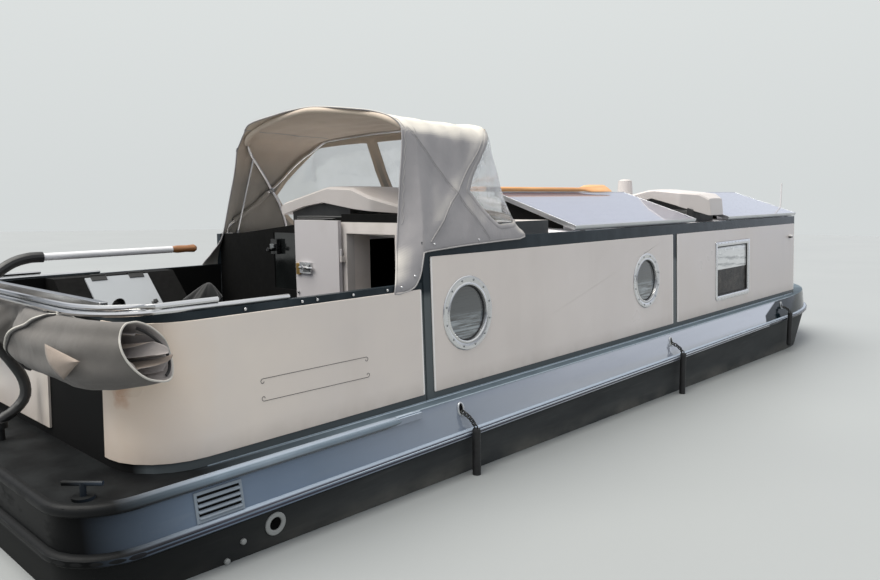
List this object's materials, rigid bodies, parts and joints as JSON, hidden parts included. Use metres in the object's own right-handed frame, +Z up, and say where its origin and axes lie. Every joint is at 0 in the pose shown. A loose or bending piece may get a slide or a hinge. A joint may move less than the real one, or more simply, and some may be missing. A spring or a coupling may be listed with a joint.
{
  "type": "houseboat",
  "caption": "Flat bottomed steel houseboat with a cabin, a stern cockpit with tiller steering, a canvas sprayhood, solar panels and air conditioners on the roof.",
  "frame": {"origin": "middle of the bottom, under the middle of the length", "axes": "+X towards the bow, +Y to port, +Z up"},
  "size_m": [10.13, 2.7192, 2.757],
  "materials": {
    "hull_paint": "gloss",
    "cream_paint": "gloss",
    "black_paint": "satin",
    "white_paint": "gloss",
    "roof_paint": "matt",
    "grey_paint": "satin",
    "stainless": "polished",
    "dark_glass": "gloss",
    "solar_cells": "gloss",
    "white_plastic": "satin",
    "oar_wood": "varnished",
    "canvas": "woven",
    "bronze": "satin",
    "fender_rubber": "matt"
  },
  "bodies": {
    "boat": {"hull": "hull_paint", "bulwark": "hull_paint", "cabin_front": "hull_paint", "cabin_side_starboard": "hull_paint", "cabin_side_port": "hull_paint", "cladding_bulwark_starboard": "cream_paint", "cladding_bulwark_port": "cream_paint", "cladding_aft_starboard": "cream_paint", "cladding_aft_port": "cream_paint", "cladding_front_starboard": "cream_paint", "cladding_front_port": "cream_paint", "aft_bulkhead": "black_paint", "hatch_garage": "black_paint", "cockpit_floor": "black_paint", "port_console": "black_paint", "staff": "white_paint", "roof": "roof_paint", "roof_beside_hatch": "roof_paint", "roof_edge": "roof_paint", "door_frame": "grey_paint", "engine": "grey_paint", "transom_rail": "stainless", "sprayhood_frame": "stainless", "cover_hoop_long": "stainless", "cover_hoop_short": "stainless", "window_starboard": "stainless", "window_port": "stainless", "porthole_starboard_1": "stainless", "porthole_starboard_2": "stainless", "porthole_port_1": "stainless", "porthole_port_2": "stainless", "bulkhead_pane": "dark_glass", "solar_panel_aft": "solar_cells", "solar_panel_front": "solar_cells", "air_conditioner_aft": "white_plastic", "air_conditioner_front": "white_plastic", "antenna": "white_plastic", "oar": "oar_wood", "sprayhood": "canvas", "rear_cover": "canvas", "fender_starboard_aft": "fender_rubber", "fender_starboard_mid": "fender_rubber", "fender_starboard_bow": "fender_rubber", "fender_port_aft": "fender_rubber", "fender_port_mid": "fender_rubber", "fender_port_bow": "fender_rubber"},
    "rudder": {"rudder": "black_paint", "swan_neck": "black_paint", "tiller_bar": "stainless", "tiller_grip": "oar_wood"},
    "propeller": {"propeller": "bronze"},
    "aft_door": {"aft_door": "white_paint"},
    "front_door": {"front_door": "hull_paint"},
    "hatch": {"hatch": "grey_paint"},
    "console_flap": {"console_flap": "white_paint"}
  },
  "joints": [
    {"name": "rudder_turn", "type": "hinge", "parent": "boat", "child": "rudder", "pos_m": [-4.705, 0, 0.5], "axis": [0, 0, 1], "range_deg": [-38, 38]},
    {"name": "propeller_spin", "type": "hinge", "parent": "boat", "child": "propeller", "pos_m": [-4.3, 0, 0.24], "axis": [1, 0, 0], "continuous": true},
    {"name": "aft_door_swing", "type": "hinge", "parent": "boat", "child": "aft_door", "pos_m": [-2.845, -0.433, 1.5], "axis": [0, 0, 1], "range_deg": [0, 180]},
    {"name": "front_door_swing", "type": "hinge", "parent": "boat", "child": "front_door", "pos_m": [3.639, 0.372, 1.5], "axis": [0, 0, 1], "range_deg": [0, 100]},
    {"name": "hatch_slide", "type": "slide", "parent": "boat", "child": "hatch", "axis": [1, 0, 0], "range_m": [0, 0.6]},
    {"name": "console_flap_lift", "type": "hinge", "parent": "boat", "child": "console_flap", "pos_m": [-3.695, 0.90194, 1.68894], "axis": [1, 0, 0], "range_deg": [-80, 0]}
  ]
}
